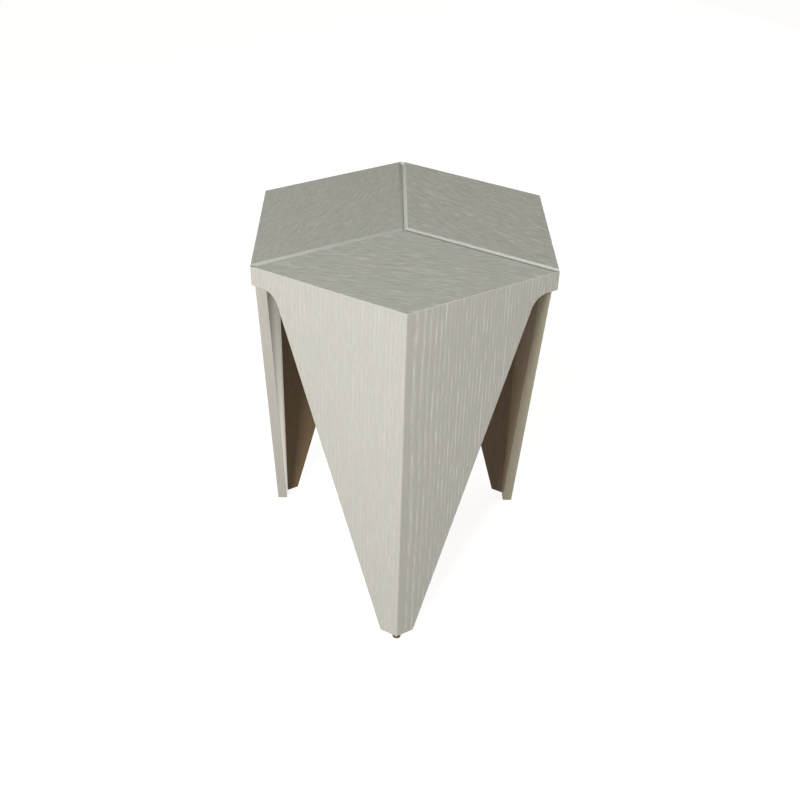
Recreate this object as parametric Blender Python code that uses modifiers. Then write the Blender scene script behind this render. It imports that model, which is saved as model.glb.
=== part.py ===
"""Side table: three alike modules of mitred boards under one six-sided top, on levelling glides.

Each module is a rhombic top panel folded down into two tapered side panels that meet in a crease.
The floor is at z = 0, the middle of the table is at x = y = 0, and the front leg points to -Y.
"""
import math

import bmesh
import bpy
from mathutils import Matrix, Vector

# Driving dimensions of the table, in metres.
side_length = 0.230
table_height = 0.560
board_thickness = 0.015
joint_gap = 0.0003
cut_overrun = 0.004

# Side panels: how far the apron hangs, and how the panel narrows to its foot.
foot_clearance = 0.007
apron_depth = 0.028
foot_width = 0.028
slant_setback = 0.034
hollow_radius = 0.024
board_edge_ease = 0.0007

# Arrises of the folded module.
top_arris_ease = 0.0011
crease_arris_ease = 0.0006
split_arris_ease = 0.0014
groove_half_width = 0.0055
groove_depth = 0.0032

# Loose splines in the mitres.
spline_thickness = 0.003
spline_width = 0.011
top_spline_start = 0.038
top_spline_end_setback = 0.042
top_spline_setback = 0.007
crease_spline_setback = 0.006
crease_spline_foot_height = 0.060
crease_spline_head_drop = 0.030

# Glue blocks under the top.
glue_block_leg = 0.016
glue_block_start = 0.045
glue_block_end_setback = 0.070
crease_block_leg = 0.024
crease_block_height = 0.055

# Joining plate and its screws.
plate_thickness = 0.009
plate_arm_setback = 0.045
plate_arm_width = 0.058
plate_fork_radius = 0.020
plate_corner_radius = 0.008
plate_edge_ease = 0.0012
screw_edge_margin = 0.012
inner_screw_reach = 0.058
outer_screw_setback = 0.025
screw_head_radius = 0.0035
screw_shank_radius = 0.00175
screw_length = 0.019
screw_tip_length = 0.003
screw_head_rim = 0.0003

# Levelling glides: pad, stud and threaded insert, upwards from the floor.
pad_radius = 0.00625
pad_height = 0.004
pad_floor = 0.0012
pad_edge_ease = 0.0008
pad_lip_thickness = 0.001
stud_foot_radius = 0.0029
stud_neck_radius = 0.0019
stud_thread_radius = 0.0025
stud_reach = 0.015
collar_across_flats = 0.008
collar_end_ease = 0.0006
insert_radius = 0.004
insert_length = 0.012
foot_bore_depth = 0.021

weld_distance = 0.000002
coplanar_angle = math.radians(0.5)
hollow_steps = 14
small_arc_steps = 8
turning_steps = 20
pad_turning_steps = 32

# Each module is the front one turned about the middle of the table.
module_turns = {"front": 0, "right": 120, "left": 240}
hands = {"right": 1, "left": -1}

# Plan angles in the front module, in degrees: its leg, its two split corners, and between them.
leg_angle = -90
split_angle = 60
mitre_angle = math.radians(split_angle)

half_gap = joint_gap / 2
top_spline_length = side_length - top_spline_start - top_spline_end_setback
glue_block_length = side_length - glue_block_start - glue_block_end_setback
plate_arm_reach = side_length - plate_arm_setback
screw_row_offset = plate_arm_width / 2 - screw_edge_margin
screw_reaches = (inner_screw_reach, plate_arm_reach - outer_screw_setback)
mitre_depth = board_thickness / math.sin(mitre_angle)
glide_radius = side_length - mitre_depth / 2
underside_height = table_height - board_thickness
plate_top_height = underside_height - joint_gap
plate_bottom_height = plate_top_height - plate_thickness

part_collection = bpy.data.collections.new("side_table")
cutter_collection = bpy.data.collections.new("cutters")


def clear_scene():
    """Remove what the opened file holds, and link this part's two collections."""
    for old_object in list(bpy.data.objects):
        bpy.data.objects.remove(old_object, do_unlink=True)
    bpy.context.scene.collection.children.link(part_collection)
    bpy.context.scene.collection.children.link(cutter_collection)


def heading(angle):
    """Unit vector in plan, at this many degrees from +X."""
    return Vector((math.cos(math.radians(angle)), math.sin(math.radians(angle)), 0))


def make_material(name, colour, roughness, metallic):
    material = bpy.data.materials.new(name)
    material.use_nodes = True
    shader = material.node_tree.nodes["Principled BSDF"]
    shader.inputs["Base Color"].default_value = (*colour, 1)
    shader.inputs["Roughness"].default_value = roughness
    shader.inputs["Metallic"].default_value = metallic
    material.diffuse_color = (*colour, 1)
    return material


def add_object(name, mesh, material, parent, location=(0, 0, 0), rotation=(0, 0, 0)):
    """Put a mesh into the part's collection under its module's empty."""
    piece = bpy.data.objects.new(name, mesh)
    part_collection.objects.link(piece)
    piece.parent = parent
    piece.location = location
    piece.rotation_euler = rotation
    piece.data.materials.clear()
    piece.data.materials.append(material)
    return piece


def add_cutter(name, mesh, parent, location=(0, 0, 0), rotation=(0, 0, 0)):
    """Put a cutting or joining shape out of the way of the part's own solids."""
    cutter = bpy.data.objects.new(name, mesh)
    cutter_collection.objects.link(cutter)
    cutter.parent = parent
    cutter.location = location
    cutter.rotation_euler = rotation
    cutter.hide_render = True
    cutter.display_type = "WIRE"
    return cutter


def combine(piece, tool, operation="DIFFERENCE"):
    change = piece.modifiers.new(operation.lower() + "_" + tool.name, "BOOLEAN")
    change.operation = operation
    change.solver = "EXACT"
    change.object = tool


def arc_at_corner(before, corner, after, radius, steps):
    """Points of the arc that rounds the corner between two straight lines."""
    towards_before = (before - corner).normalized()
    towards_after = (after - corner).normalized()
    half_angle = towards_before.angle(towards_after) / 2
    bisector = (towards_before + towards_after).normalized()
    centre = corner + bisector * (radius / math.sin(half_angle))
    start = corner + towards_before * (radius / math.tan(half_angle)) - centre
    end = corner + towards_after * (radius / math.tan(half_angle)) - centre
    sweep = start.angle(end)
    points = []
    for step in range(steps + 1):
        turn = sweep * step / steps
        share_of_start = math.sin(sweep - turn) / math.sin(sweep)
        share_of_end = math.sin(turn) / math.sin(sweep)
        points.append(centre + start * share_of_start + end * share_of_end)
    return points


def board_mesh(name, outline, thickness):
    """A flat board from its outline in local X and Y, with its thickness centred on local Z."""
    curve = bpy.data.curves.new(name + "_outline", "CURVE")
    curve.dimensions = "2D"
    curve.fill_mode = "BOTH"
    curve.extrude = thickness / 2
    spline = curve.splines.new("POLY")
    spline.points.add(len(outline) - 1)
    for place, corner in zip(spline.points, outline):
        place.co = (corner[0], corner[1], 0, 1)
    spline.use_cyclic_u = True
    shape = bpy.data.objects.new(name + "_outline", curve)
    cutter_collection.objects.link(shape)
    graph = bpy.context.evaluated_depsgraph_get()
    mesh = bpy.data.meshes.new_from_object(shape.evaluated_get(graph))
    bpy.data.objects.remove(shape, do_unlink=True)
    mesh.name = name
    solid = bmesh.new()
    solid.from_mesh(mesh)
    bmesh.ops.remove_doubles(solid, verts=solid.verts, dist=weld_distance)
    bmesh.ops.dissolve_limit(solid, angle_limit=coplanar_angle, verts=solid.verts, edges=solid.edges)
    bmesh.ops.recalc_face_normals(solid, faces=solid.faces)
    solid.to_mesh(mesh)
    solid.free()
    return mesh


def box_mesh(name, size):
    mesh = bpy.data.meshes.new(name)
    solid = bmesh.new()
    bmesh.ops.create_cube(solid, size=1, matrix=Matrix.Diagonal((*size, 1)))
    solid.to_mesh(mesh)
    solid.free()
    return mesh


def add_turning(piece, steps):
    """Turn the piece's profile once about its own Z axis, and close it on the axis."""
    turning = piece.modifiers.new("turning", "SCREW")
    turning.angle = math.tau
    turning.steps = steps
    turning.render_steps = steps
    turning.use_merge_vertices = True
    turning.merge_threshold = weld_distance
    turning.use_normal_calculate = False


def profile_mesh(name, profile, closed=False):
    """A turned shape's section, as radius and height, listed down its outer side."""
    mesh = bpy.data.meshes.new(name)
    edges = [(index, index + 1) for index in range(len(profile) - 1)]
    if closed:
        edges.append((len(profile) - 1, 0))
    mesh.from_pydata([(radius, 0, height) for radius, height in profile], edges, [])
    return mesh


def bevel_edges(mesh, chosen, width):
    """Ease the edges of a mesh that a test picks out."""
    solid = bmesh.new()
    solid.from_mesh(mesh)
    edges = [edge for edge in solid.edges if chosen(edge.verts[0].co, edge.verts[1].co)]
    bmesh.ops.bevel(solid, geom=edges, offset=width, segments=1, affect="EDGES", clamp_overlap=True)
    solid.to_mesh(mesh)
    solid.free()


def trim(piece, point, normal):
    """Saw a board off along a plane given in its module's frame, on the side of the normal."""
    placement = Matrix.LocRotScale(piece.location, piece.rotation_euler, None)
    into_board = placement.inverted()
    solid = bmesh.new()
    solid.from_mesh(piece.data)
    geometry = solid.verts[:] + solid.edges[:] + solid.faces[:]
    bmesh.ops.bisect_plane(
        solid,
        geom=geometry,
        dist=weld_distance,
        plane_co=into_board @ point,
        plane_no=into_board.to_3x3() @ normal,
        clear_outer=True,
    )
    open_edges = [edge for edge in solid.edges if edge.is_boundary]
    bmesh.ops.holes_fill(solid, edges=open_edges, sides=0)
    bmesh.ops.recalc_face_normals(solid, faces=solid.faces)
    solid.to_mesh(piece.data)
    solid.free()


def outer_edge(hand):
    """One outer edge of the front module in plan: where it starts, its direction and its outside."""
    leg_corner = heading(leg_angle) * side_length
    split_corner = heading(leg_angle + hand * split_angle) * side_length
    along = (split_corner - leg_corner).normalized()
    outward = heading(leg_angle + hand * split_angle / 2)
    return leg_corner, along, outward


def module_planes(hand):
    """Planes of one half of the front module, each as a point and the normal of the waste."""
    leg_corner, along, outward = outer_edge(hand)
    split_corner = leg_corner + along * side_length
    past_split = heading(leg_angle + hand * (split_angle + 90))
    up = Vector((0, 0, 1))
    top_edge = leg_corner + up * table_height
    under_mitre = (outward - up).normalized()
    over_arris = (outward + up).normalized()
    over_groove = (past_split * groove_depth + up * groove_half_width).normalized()
    over_split = (outward + along).normalized()
    return {
        "crease": (Vector((hand * half_gap, 0, 0)), Vector((-hand, 0, 0))),
        "split": (past_split * -half_gap, past_split),
        "mitre_of_side": (top_edge + under_mitre * half_gap, -under_mitre),
        "mitre_of_top": (top_edge - under_mitre * half_gap, under_mitre),
        "top_arris": (top_edge - up * top_arris_ease, over_arris),
        "crease_arris": (leg_corner + along * crease_arris_ease, heading(leg_angle)),
        "split_arris": (split_corner - along * split_arris_ease, over_split),
        "groove": (up * table_height - past_split * groove_half_width, over_groove),
    }


def side_panel_outline(hand):
    """Local X runs from the crease to the split corner, and local Y is the height."""
    apron_height = table_height - apron_depth
    toe = Vector((foot_width, foot_clearance))
    hollow_corner = Vector((side_length - slant_setback, apron_height))
    apron_end = Vector((side_length, apron_height))
    outline = [Vector((0, foot_clearance)), toe]
    outline += arc_at_corner(toe, hollow_corner, apron_end, hollow_radius, hollow_steps)
    outline += [apron_end, Vector((side_length, table_height)), Vector((0, table_height))]
    return [Vector((hand * point.x, point.y)) for point in outline]


def make_side_panel(name, hand, material, parent):
    """Tapered board with hollow-rounded apron, mitred at its top and at both its ends."""
    mesh = board_mesh(name, side_panel_outline(hand), board_thickness)
    end_positions = (0, side_length)

    def on_sawn_edge(first, second):
        level = abs(first.z - second.z) < weld_distance
        at_top = min(first.y, second.y) > table_height - weld_distance
        at_end = any(
            abs(abs(first.x) - place) < weld_distance and abs(abs(second.x) - place) < weld_distance
            for place in end_positions
        )
        return level and not at_top and not at_end

    bevel_edges(mesh, on_sawn_edge, board_edge_ease)
    leg_corner, _, outward = outer_edge(hand)
    location = leg_corner - outward * (board_thickness / 2)
    rotation = (math.radians(90), 0, math.radians(hand * split_angle / 2))
    panel = add_object(name, mesh, material, parent, location, rotation)
    planes = module_planes(hand)
    for plane in ("crease", "split", "mitre_of_side", "top_arris", "crease_arris", "split_arris"):
        trim(panel, *planes[plane])
    return panel


def make_top_panel(name, material, parent):
    """Rhombic board, mitred along its two outer edges and chamfered along its two inner ones."""
    outline = [
        Vector((0, 0)),
        heading(leg_angle - split_angle).xy * side_length,
        heading(leg_angle).xy * side_length,
        heading(leg_angle + split_angle).xy * side_length,
    ]
    mesh = board_mesh(name, outline, board_thickness)
    location = (0, 0, table_height - board_thickness / 2)
    panel = add_object(name, mesh, material, parent, location)
    for hand in hands.values():
        planes = module_planes(hand)
        for plane in ("split", "groove", "mitre_of_top", "top_arris", "crease_arris", "split_arris"):
            trim(panel, *planes[plane])
    return panel


def spline_size(length):
    return Vector((length, spline_width, spline_thickness))


def slot_size(length):
    gaps = Vector((joint_gap, joint_gap, joint_gap)) * 2
    return spline_size(length) + gaps


def make_top_spline(name, hand, panels, material, parent):
    """Loose tongue square to the mitre between a top panel and a side panel."""
    leg_corner, along, outward = outer_edge(hand)
    into_mitre = -(outward + Vector((0, 0, 1))).normalized()
    mitre_width = board_thickness * math.sqrt(2)
    location = leg_corner + Vector((0, 0, table_height))
    location += along * (top_spline_start + top_spline_length / 2)
    location += into_mitre * (mitre_width - top_spline_setback)
    rotation = (math.radians(45), 0, math.radians(hand * split_angle / 2))
    spline_mesh = box_mesh(name, spline_size(top_spline_length))
    add_object(name, spline_mesh, material, parent, location, rotation)
    slot_mesh = box_mesh(name + "_slot", slot_size(top_spline_length))
    slot = add_cutter(name + "_slot", slot_mesh, parent, location, rotation)
    for panel in panels:
        combine(panel, slot)


def make_crease_spline(name, panels, material, parent):
    """Long loose tongue square to the upright mitre of a leg."""
    foot = crease_spline_foot_height
    head = table_height - crease_spline_head_drop
    length = head - foot
    location = (0, -side_length + mitre_depth - crease_spline_setback, (foot + head) / 2)
    rotation = (math.radians(90), math.radians(90), 0)
    add_object(name, box_mesh(name, spline_size(length)), material, parent, location, rotation)
    slot_mesh = box_mesh(name + "_slot", slot_size(length))
    slot = add_cutter(name + "_slot", slot_mesh, parent, location, rotation)
    for panel in panels:
        combine(panel, slot)


def make_glue_block(name, hand, material, parent):
    """Three-cornered block rubbed into the corner between the top and a side panel."""
    outline = [(0, 0), (glue_block_leg, 0), (0, glue_block_leg)]
    mesh = board_mesh(name, outline, glue_block_length)
    leg_corner, along, outward = outer_edge(hand)
    inward = -outward
    down = Vector((0, 0, -1))
    location = leg_corner + along * (glue_block_start + glue_block_length / 2)
    location += inward * (board_thickness + joint_gap)
    location.z = underside_height - joint_gap
    axes = Matrix((inward, down, inward.cross(down))).transposed()
    add_object(name, mesh, material, parent, location, axes.to_euler())


def make_crease_block(name, material, parent):
    """Three-cornered upright block in the inner corner of the crease, under the top."""
    inner_crease = Vector((0, -side_length + mitre_depth + joint_gap / math.sin(mitre_angle)))
    outline = [inner_crease]
    for hand in hands.values():
        outline.append(inner_crease + heading(leg_angle + hand * (180 - split_angle)).xy * crease_block_leg)
    mesh = board_mesh(name, outline, crease_block_height)
    location = (0, 0, underside_height - joint_gap - crease_block_height / 2)
    add_object(name, mesh, material, parent, location)


def plate_outline():
    """Three arms along the grooves, with rounded ends and hollow forks between them."""
    arm_angles = [leg_angle + split_angle + turn for turn in module_turns.values()]
    half_width = plate_arm_width / 2
    fork_reach = half_width / math.sin(mitre_angle)
    corners = []
    for angle in arm_angles:
        along = heading(angle).xy
        across = heading(angle + 90).xy
        corners.append((along * plate_arm_reach - across * half_width, plate_corner_radius))
        corners.append((along * plate_arm_reach + across * half_width, plate_corner_radius))
        corners.append((heading(angle + split_angle).xy * fork_reach, plate_fork_radius))
    outline = []
    for index, (corner, radius) in enumerate(corners):
        before = corners[index - 1][0]
        after = corners[(index + 1) % len(corners)][0]
        outline += arc_at_corner(before, corner, after, radius, small_arc_steps)
    return outline


def make_joining_plate(name, material):
    """Plywood plate that ties the three modules together under their grooves."""
    mesh = board_mesh(name, plate_outline(), plate_thickness)

    def on_lower_rim(first, second):
        return max(first.z, second.z) < 0

    bevel_edges(mesh, on_lower_rim, plate_edge_ease)
    location = (0, 0, plate_top_height - plate_thickness / 2)
    return add_object(name, mesh, material, None, location)


def screw_profile():
    """Countersunk screw standing on its head, listed from the tip down its outer side."""
    cone_height = screw_head_radius - screw_shank_radius
    return [
        (0, screw_length),
        (screw_shank_radius, screw_length - screw_tip_length),
        (screw_shank_radius, screw_head_rim + cone_height),
        (screw_head_radius, screw_head_rim),
        (screw_head_radius, 0),
        (0, 0),
    ]


def screw_hole_profile():
    """Room for the screw and its head, with the joint gap all round, open downwards."""
    hole_radius = screw_shank_radius + joint_gap
    rim_radius = screw_head_radius + joint_gap
    cone_height = rim_radius - hole_radius
    return [
        (0, screw_length + joint_gap),
        (hole_radius, screw_length + joint_gap),
        (hole_radius, screw_head_rim + cone_height),
        (rim_radius, screw_head_rim),
        (rim_radius, -cut_overrun),
        (0, -cut_overrun),
    ]


def screw_places():
    """Four places in the front module, two beside each of its grooves."""
    places = []
    for hand in hands.values():
        groove = heading(leg_angle + hand * split_angle)
        off_groove = heading(leg_angle + hand * (split_angle - 90))
        for reach in screw_reaches:
            places.append(groove * reach + off_groove * screw_row_offset)
    return places


def make_screws(module, plate, top_panel, material, parent):
    """Screws up through the plate into one top panel."""
    for number, place in enumerate(screw_places(), start=1):
        name = "plate_screw_" + module + "_" + str(number)
        location = (place.x, place.y, plate_bottom_height)
        screw = add_object(name, profile_mesh(name, screw_profile()), material, parent, location)
        add_turning(screw, turning_steps)
        hole_name = name + "_hole"
        hole = add_cutter(hole_name, profile_mesh(hole_name, screw_hole_profile()), parent, location)
        add_turning(hole, turning_steps)
        combine(plate, hole)
        combine(top_panel, hole)


def make_insert(name, panels, material, parent):
    """Threaded bush in the foot, half in each of the two mitred boards."""
    bore_radius = stud_thread_radius + joint_gap
    profile = [
        (bore_radius, insert_length),
        (insert_radius, insert_length),
        (insert_radius, 0),
        (bore_radius, 0),
    ]
    location = (0, -glide_radius, foot_clearance)
    insert = add_object(name, profile_mesh(name, profile, closed=True), material, parent, location)
    add_turning(insert, turning_steps)
    bore_profile = [
        (0, foot_bore_depth),
        (insert_radius + joint_gap, foot_bore_depth),
        (insert_radius + joint_gap, -cut_overrun),
        (0, -cut_overrun),
    ]
    bore_name = name + "_bore"
    bore = add_cutter(bore_name, profile_mesh(bore_name, bore_profile), parent, location)
    add_turning(bore, turning_steps)
    for panel in panels:
        combine(panel, bore)


def make_pad(name, material, parent):
    """Turned pad with a lipped socket, in which the stud's foot swivels."""
    lip_radius = stud_neck_radius + joint_gap
    socket_radius = stud_foot_radius + joint_gap
    lip_height = pad_height - pad_lip_thickness
    profile = [
        (0, pad_floor),
        (socket_radius, pad_floor),
        (socket_radius, lip_height),
        (lip_radius, lip_height),
        (lip_radius, pad_height),
        (pad_radius - pad_edge_ease, pad_height),
        (pad_radius, pad_height - pad_edge_ease),
        (pad_radius, pad_edge_ease),
        (pad_radius - pad_edge_ease, 0),
        (0, 0),
    ]
    pad = add_object(name, profile_mesh(name, profile), material, parent, (0, -glide_radius, 0))
    add_turning(pad, pad_turning_steps)


def make_stud(name, material, parent):
    """Stud with its foot in the pad's socket, a hexagon collar for a spanner, and its shank."""
    foot_bottom = pad_floor + joint_gap
    foot_top = pad_height - pad_lip_thickness - joint_gap
    collar_bottom = pad_height + joint_gap
    collar_top = foot_clearance - joint_gap
    collar_middle = (collar_bottom + collar_top) / 2
    stud_top = foot_clearance + stud_reach
    profile = [
        (0, stud_top),
        (stud_thread_radius - collar_end_ease, stud_top),
        (stud_thread_radius, stud_top - collar_end_ease),
        (stud_thread_radius, collar_middle),
        (stud_neck_radius, collar_middle),
        (stud_neck_radius, foot_top),
        (stud_foot_radius, foot_top),
        (stud_foot_radius, foot_bottom),
        (0, foot_bottom),
    ]
    stud = add_object(name, profile_mesh(name, profile), material, parent, (0, -glide_radius, 0))
    add_turning(stud, turning_steps)
    collar_mesh = bpy.data.meshes.new(name + "_collar")
    solid = bmesh.new()
    corner_radius = collar_across_flats / math.sqrt(3)
    bmesh.ops.create_cone(solid, cap_ends=True, segments=6, radius1=corner_radius,
                          radius2=corner_radius, depth=collar_top - collar_bottom)
    solid.to_mesh(collar_mesh)
    solid.free()
    collar = add_cutter(name + "_collar", collar_mesh, parent, (0, -glide_radius, collar_middle))
    combine(stud, collar, "UNION")


def make_module(module, turn, plate, materials):
    """One third of the table: top, two sides, what joins them, and the glide under their foot."""
    empty = bpy.data.objects.new("module_" + module, None)
    part_collection.objects.link(empty)
    empty.rotation_euler.z = math.radians(turn)
    ash = materials["cerused_ash"]
    beech = materials["beech"]
    top_panel = make_top_panel("top_panel_" + module, ash, empty)
    side_panels = {}
    for hand_name, hand in hands.items():
        name = "side_panel_" + module + "_" + hand_name
        side_panels[hand_name] = make_side_panel(name, hand, ash, empty)
    for hand_name, hand in hands.items():
        ending = module + "_" + hand_name
        panels = (top_panel, side_panels[hand_name])
        make_top_spline("top_spline_" + ending, hand, panels, beech, empty)
        make_glue_block("glue_block_" + ending, hand, beech, empty)
    both_sides = tuple(side_panels.values())
    make_crease_spline("crease_spline_" + module, both_sides, beech, empty)
    make_crease_block("crease_block_" + module, beech, empty)
    make_screws(module, plate, top_panel, materials["zinc_steel"], empty)
    make_insert("threaded_insert_" + module, both_sides, materials["brass"], empty)
    make_stud("leveller_stud_" + module, materials["zinc_steel"], empty)
    make_pad("leveller_pad_" + module, materials["antique_brass"], empty)


def build():
    clear_scene()
    materials = {
        "cerused_ash": make_material("cerused_ash", (0.46, 0.45, 0.40), 0.55, 0.0),
        "plywood": make_material("plywood", (0.52, 0.38, 0.24), 0.7, 0.0),
        "beech": make_material("beech", (0.55, 0.38, 0.24), 0.65, 0.0),
        "zinc_steel": make_material("zinc_steel", (0.55, 0.56, 0.58), 0.35, 1.0),
        "brass": make_material("brass", (0.70, 0.55, 0.30), 0.35, 1.0),
        "antique_brass": make_material("antique_brass", (0.40, 0.28, 0.14), 0.4, 1.0),
    }
    plate = make_joining_plate("joining_plate", materials["plywood"])
    for module, turn in module_turns.items():
        make_module(module, turn, plate, materials)


build()
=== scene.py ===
import math

import bmesh
import bpy
from mathutils import Matrix, Vector


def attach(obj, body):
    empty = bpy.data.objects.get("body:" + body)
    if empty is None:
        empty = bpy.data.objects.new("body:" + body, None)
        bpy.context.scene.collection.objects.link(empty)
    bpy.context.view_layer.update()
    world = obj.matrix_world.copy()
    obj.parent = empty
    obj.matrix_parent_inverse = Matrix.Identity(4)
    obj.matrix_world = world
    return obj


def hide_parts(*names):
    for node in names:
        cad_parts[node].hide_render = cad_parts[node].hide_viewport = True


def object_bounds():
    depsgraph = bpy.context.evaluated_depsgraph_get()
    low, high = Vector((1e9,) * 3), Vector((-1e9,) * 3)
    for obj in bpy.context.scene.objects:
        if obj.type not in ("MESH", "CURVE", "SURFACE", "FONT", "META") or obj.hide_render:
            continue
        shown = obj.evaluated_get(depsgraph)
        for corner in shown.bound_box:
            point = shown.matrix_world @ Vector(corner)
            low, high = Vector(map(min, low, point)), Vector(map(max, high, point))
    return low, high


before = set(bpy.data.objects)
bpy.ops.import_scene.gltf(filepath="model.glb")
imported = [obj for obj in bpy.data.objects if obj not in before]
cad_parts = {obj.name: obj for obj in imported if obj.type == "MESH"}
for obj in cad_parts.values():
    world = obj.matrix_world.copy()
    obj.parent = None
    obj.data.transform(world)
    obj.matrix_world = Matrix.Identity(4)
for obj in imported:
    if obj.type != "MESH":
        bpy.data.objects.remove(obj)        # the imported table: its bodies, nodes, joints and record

cad_low, cad_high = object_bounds()

# Side boards
# Six tapered sides, two to a leg, of 15 mm ash-faced board, mitred and glued along the upright
# crease. The face is stained grey, white wax is rubbed into its pores, and a satin lacquer closes it.

side_length = 0.230
table_height = cad_high.z
board_thickness = 0.015
half_joint = 0.00015
foot_clearance = 0.007
foot_width = 0.028
apron_depth = 0.028
slant_setback = 0.034
hollow_radius = 0.024
hollow_steps = 40
sawn_edge_round = 0.0008
sawn_edge_steps = 4
top_arris_round = 0.0014
side_arris_cuts = (15, 30, 45)
crease_round = 0.0022
crease_cuts = (10, 20, 30)
split_round = 0.0011
split_cuts = (20, 40, 60, 80, 100)
weld_distance = 0.000002
smooth_below = math.radians(27)
foot_bore_radius = 0.0043
foot_bore_depth = 0.021
foot_bore_sides = 48
leveller_reach = 0.2213397
leg_heading = -90
split_heading = 60
module_turns = {"front": 0, "right": 120, "left": 240}
hands = {"right": 1, "left": -1}
upward = Vector((0, 0, 1))

# Facets turned outwards by more than the first share are the face, by less than the second the back.
face_side = 0.7
hidden_side = -0.9

# Ground, blotch, late wood and wax.
grey_stain = ((0.460, 0.462, 0.417), (0.462, 0.452, 0.421), (0.397, 0.396, 0.350), (0.659, 0.657, 0.623))
# Painted shade in part: the inside faces and the top's underside take a brown stain made darker than the
# wood's own, for the shade inside the table.
brown_stain_and_painted_shade = ((0.232, 0.176, 0.114), (0.256, 0.199, 0.132), (0.182, 0.137, 0.086), (0.348, 0.284, 0.208))
# Painted deep shade: a still darker brown for one inside face of the left leg, which lies in deep shade.
painted_deep_shade_brown = (
    (0.136, 0.092, 0.048), (0.151, 0.104, 0.056), (0.106, 0.070, 0.036), (0.208, 0.151, 0.092)
)
# Painted light: a lighter brown for the inside face of the right leg's left side, which the front-left lamp
# partly reaches.
painted_lit_brown = (
    (0.355, 0.272, 0.160), (0.380, 0.295, 0.180), (0.290, 0.215, 0.120), (0.460, 0.380, 0.265)
)
edge_stain = ((0.536, 0.526, 0.479), (0.530, 0.515, 0.468), (0.470, 0.458, 0.410), (0.670, 0.661, 0.622))
# Painted warm shade: a warmer tint for the right leg's left sawn edge, which lies in the front leg's shade.
painted_warm_shade_edge = (
    (0.546, 0.520, 0.412), (0.536, 0.500, 0.386), (0.464, 0.433, 0.324), (0.659, 0.628, 0.515)
)
# Painted light: a pale tone for one inside face of the left leg, standing for light falling on it.
painted_light_pale = ((0.666, 0.653, 0.595), (0.659, 0.642, 0.582), (0.603, 0.591, 0.532), (0.749, 0.739, 0.695))
lacquer_roughness = 0.46
lacquer_shine = 0.20
wax_roughness = 0.60
pore_relief = 0.00018
long_bend = (0.050, 0.200)
long_bend_reach = 0.0060
short_bend = (0.012, 0.042)
short_bend_reach = 0.0009
blotch_size = (0.007, 0.060)
fibre_size = (0.0004, 0.060)
fibre_strength = 0.16
fibre_relief = 0.5

# Which share of a year's ring is waxed early wood, and which darkens as late wood.
early_wood_rise = (0.0, 0.14)
early_wood_fall = (0.30, 0.52)
late_wood_rise = (0.55, 0.98)
late_wood_strength = 0.30

# Between which levels of noise each part of the figure sets in.
line_levels = (0.42, 0.62)
weakest_line = 0.55
patch_levels = (0.38, 0.60)
light_dash_levels = (0.52, 0.66)
dark_dash_levels = (0.36, 0.48)
fibre_levels = (0.35, 0.70)
blotch_levels = (0.40, 0.60)

# For each side: the pith across from the crease and behind the face, a year's ring, how wide and
# how long its waxed lines and its dashes run, and how strong these are.
side_figures = {
    ("front", "left"): ((0.500, 0.050), 0.0060, (0.0014, 0.070), (0.0008, 0.016), 0.33, 0.22),
    ("front", "right"): ((-0.006, 0.060), 0.0048, (0.0014, 0.034), (0.0008, 0.012), 0.92, 0.20),
    ("right", "left"): ((-0.300, 0.060), 0.0042, (0.0014, 0.040), (0.0006, 0.011), 0.55, 0.25),
    ("right", "right"): ((0.120, 0.070), 0.0040, (0.0016, 0.028), (0.0007, 0.012), 0.70, 0.25),
    ("left", "left"): ((0.080, 0.050), 0.0044, (0.0016, 0.028), (0.0007, 0.012), 0.70, 0.25),
    ("left", "right"): ((0.400, 0.060), 0.0038, (0.0014, 0.044), (0.0006, 0.011), 0.45, 0.20),
}
inner_figure = ((0.400, 0.300), 0.0048, (0.0016, 0.050), (0.0006, 0.011), 0.30, 0.40)
edge_figure = ((0.400, 0.300), 0.0060, (0.0014, 0.040), (0.0007, 0.016), 0.00, 0.30)
# Inside faces that take painted light or shade in place of the brown stain.
inner_painted_light = {
    ("left", "right"): painted_light_pale,
    ("left", "left"): painted_deep_shade_brown,
    ("right", "left"): painted_lit_brown,
}
# The sawn edge whose tint is painted warm shade.
sawn_painted_warm_shade = {("right", "left"): painted_warm_shade_edge}


def shader_node(tree, kind, inputs, **settings):
    """Add a node, set its own settings, then link or set each named or numbered input."""
    made = tree.nodes.new(kind)
    for setting, value in settings.items():
        setattr(made, setting, value)
    for socket, value in inputs.items():
        if isinstance(value, bpy.types.NodeSocket):
            tree.links.new(value, made.inputs[socket])
        else:
            made.inputs[socket].default_value = value
    return made


def maths(tree, operation, first, second=0.0):
    made = shader_node(tree, "ShaderNodeMath", {0: first, 1: second}, operation=operation)
    return made.outputs[0]


def vector_maths(tree, operation, first, second, third=(0, 0, 0)):
    inputs = {0: first, 1: second, 2: third}
    return shader_node(tree, "ShaderNodeVectorMath", inputs, operation=operation).outputs[0]


def mapped(tree, value, low, high, to_low=0.0, to_high=1.0):
    inputs = {"Value": value, "From Min": low, "From Max": high, "To Min": to_low, "To Max": to_high}
    made = shader_node(tree, "ShaderNodeMapRange", inputs, interpolation_type="SMOOTHSTEP")
    return made.outputs["Result"]


def mixed_colour(tree, amount, first, second):
    inputs = {"Factor": amount, 6: first, 7: second}
    return shader_node(tree, "ShaderNodeMix", inputs, data_type="RGBA").outputs[2]


def opaque(colour):
    return (*colour, 1.0)


def new_finish(name, roughness, metallic=0.0):
    """A material, its node tree, its Principled shader and the coordinates for its patterns."""
    material = bpy.data.materials.new(name)
    material.use_nodes = True
    shader = material.node_tree.nodes["Principled BSDF"]
    shader.inputs["Roughness"].default_value = roughness
    shader.inputs["Metallic"].default_value = metallic
    place = material.node_tree.nodes.new("ShaderNodeTexCoord").outputs["Object"]
    return material, material.node_tree, shader, place


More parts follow.
